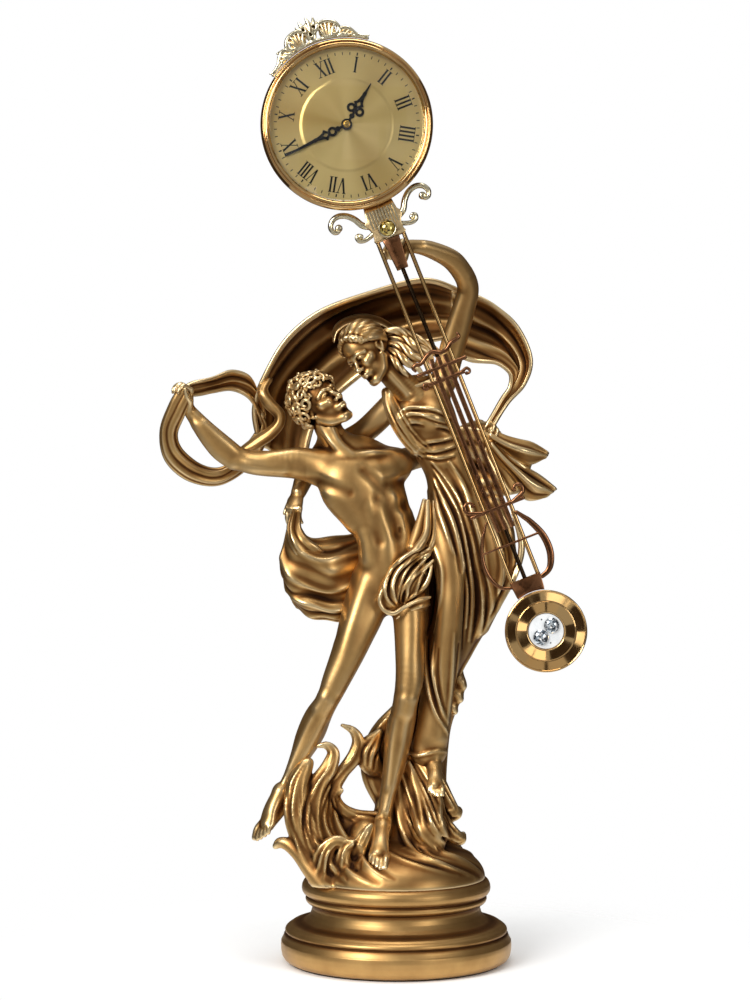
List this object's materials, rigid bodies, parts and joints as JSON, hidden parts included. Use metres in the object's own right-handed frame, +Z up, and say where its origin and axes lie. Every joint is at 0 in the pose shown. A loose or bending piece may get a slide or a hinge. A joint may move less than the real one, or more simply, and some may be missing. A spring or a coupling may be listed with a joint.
{
  "type": "swinging pendulum clock",
  "caption": "Bronze-finish sculpture of dancing figures with flying veils on a round stepped base; a raised hand carries a swinging lyre pendulum with a clock head.",
  "frame": {"origin": "centre of the felt underside of the round base", "axes": "+Z up, the clock's front faces -Y, +X to the viewer's right"},
  "size_m": [0.3743, 0.2058, 0.8272],
  "materials": {
    "bronze_resin": "metallic bronze paint with dark patina on cast resin",
    "gold_plate": "polished gold plate",
    "brass": "turned brass",
    "steel": "plain steel",
    "black_enamel": "black enamel",
    "champagne_dial": "satin champagne gold",
    "lens_glass": "clear domed glass",
    "felt": "brown felt",
    "iron": "rough casting",
    "board": "pressed board",
    "black_plastic": "moulded",
    "nylon": "moulded gear plastic",
    "white_disc": "white enamel",
    "gem_glass": "cut clear stone",
    "citrine_glass": "cut yellow stone",
    "cell_can": "printed steel can",
    "copper_wire": "enamelled copper winding"
  },
  "bodies": {
    "stand": {"felt_pad": "felt", "base_plinth": "bronze_resin", "rock_mound": "bronze_resin", "man_body": "bronze_resin", "man_right_leg": "bronze_resin", "man_head": "bronze_resin", "man_right_arm": "bronze_resin", "man_left_arm": "bronze_resin", "loincloth": "bronze_resin", "woman_gown": "bronze_resin", "woman_head": "bronze_resin", "woman_raised_arm": "bronze_resin", "woman_lowered_arm": "bronze_resin", "veil_left": "bronze_resin", "veil_top": "bronze_resin", "veil_swirl": "bronze_resin", "veil_tail": "bronze_resin", "veil_ribbon_upper": "bronze_resin", "veil_ribbon_lower": "bronze_resin", "cloth_swag": "bronze_resin", "base_plate": "board", "ballast_weight": "iron", "tie_rod": "steel", "tie_nut": "steel", "pivot_pin": "steel", "pivot_socket": "brass"},
    "pendulum": {"head_case": "gold_plate", "head_back_cover": "gold_plate", "bezel": "gold_plate", "crest": "gold_plate", "collar_bracket": "gold_plate", "neck_block": "gold_plate", "rod_left": "gold_plate", "rod_right": "gold_plate", "lyre_top_bar": "gold_plate", "gridiron": "gold_plate", "lyre_loop": "gold_plate", "bob_yoke": "gold_plate", "bob_shell": "gold_plate", "bob_ring": "gold_plate", "lens": "lens_glass", "dial": "champagne_dial", "movement_housing": "black_plastic", "movement_cover": "black_plastic", "movement_cell": "cell_can", "drive_cell": "cell_can", "jewel": "citrine_glass", "pivot_bush": "brass", "rod_centre": "steel", "bob_disc": "white_disc", "bob_gem_left": "gem_glass", "bob_gem_right": "gem_glass", "drive_coil": "copper_wire"},
    "minute_hand_set": {"minute_arbor": "brass", "minute_hand": "black_enamel", "hand_nut": "gold_plate"},
    "hour_hand_set": {"hour_wheel": "nylon", "hour_hand": "black_enamel"},
    "setting_train": {"minute_wheel": "nylon", "setting_knob": "black_plastic"}
  },
  "joints": [
    {"name": "pendulum_swing", "type": "hinge", "parent": "stand", "child": "pendulum", "pos_m": [-0.0015, -0.085, 0.6305], "axis": [0, 1, 0], "range_deg": [-1.5, 44.5]},
    {"name": "minute_hand_turn", "type": "hinge", "parent": "pendulum", "child": "minute_hand_set", "pos_m": [-0.04328, -0.085, 0.73657], "axis": [0, 1, 0], "continuous": true},
    {"name": "hour_hand_turn", "type": "hinge", "parent": "pendulum", "child": "hour_hand_set", "pos_m": [-0.04328, -0.085, 0.73657], "axis": [0, 1, 0], "continuous": true},
    {"name": "setting_turn", "type": "hinge", "parent": "pendulum", "child": "setting_train", "pos_m": [-0.03398, -0.085, 0.74023], "axis": [0, 1, 0], "continuous": true}
  ],
  "couplings": [
    {"joint": "hour_hand_turn", "follows": "minute_hand_turn", "ratio": 0.083333},
    {"joint": "setting_turn", "follows": "minute_hand_turn", "ratio": -0.33333}
  ]
}
